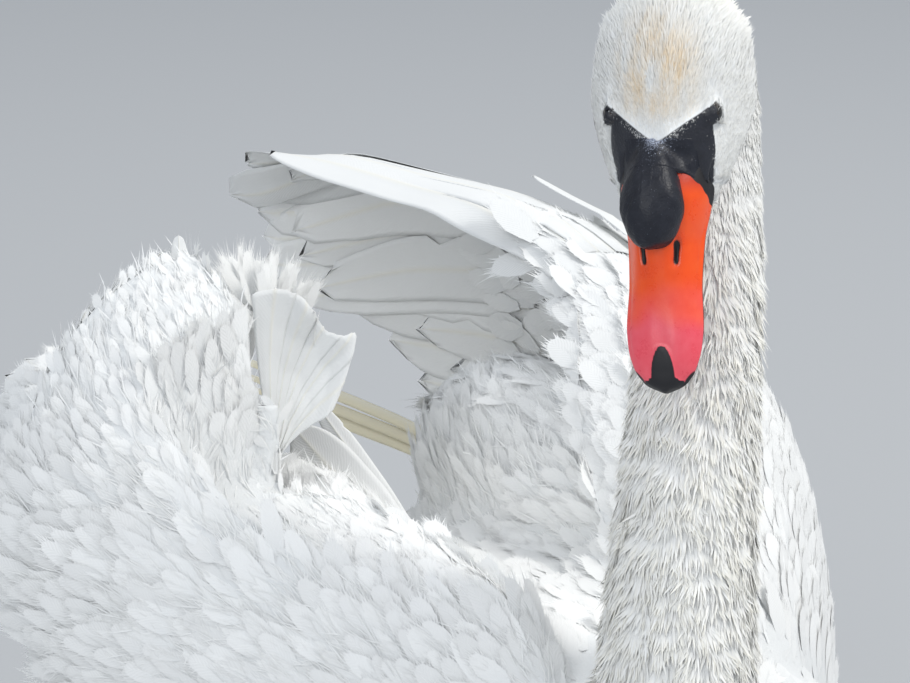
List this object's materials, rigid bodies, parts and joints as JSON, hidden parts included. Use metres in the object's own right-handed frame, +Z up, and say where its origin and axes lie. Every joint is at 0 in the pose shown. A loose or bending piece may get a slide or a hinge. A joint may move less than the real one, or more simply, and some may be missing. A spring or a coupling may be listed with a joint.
{
  "type": "mute swan",
  "caption": "Life-size adult mute swan afloat in threat display: neck upright, bill held down, wings arched and ruffled over the back.",
  "frame": {"origin": "on the floor, under the middle of the flat of the belly on which the bird rests", "axes": "-Y the way the body faces, +X the bird's left, +Z up"},
  "size_m": [0.4044, 0.6822, 0.5607],
  "materials": {
    "plumage": "soft white feathers, matt",
    "bill": "smooth, slightly glossy horn",
    "black_skin": "fine-grained black skin, satin",
    "eye": "wet, glossy",
    "leg_skin": "scaled dark grey skin, satin"
  },
  "bodies": {
    "root": {"trunk": "plumage", "tail": "plumage", "neck_lower": "plumage", "neck_middle": "plumage", "neck_upper": "plumage", "head": "plumage", "wing_left": "plumage", "wing_right": "plumage", "secondaries_left": "plumage", "secondaries_right": "plumage", "tertials_left": "plumage", "tertials_right": "plumage", "primaries_left": "plumage", "primaries_right": "plumage", "scapulars_left": "plumage", "scapulars_right": "plumage", "fan_right": "plumage", "bill_upper": "bill", "bill_lower": "bill", "bill_knob": "black_skin", "eye_left": "eye", "eye_right": "eye", "leg_left": "leg_skin", "leg_right": "leg_skin"}
  },
  "joints": []
}
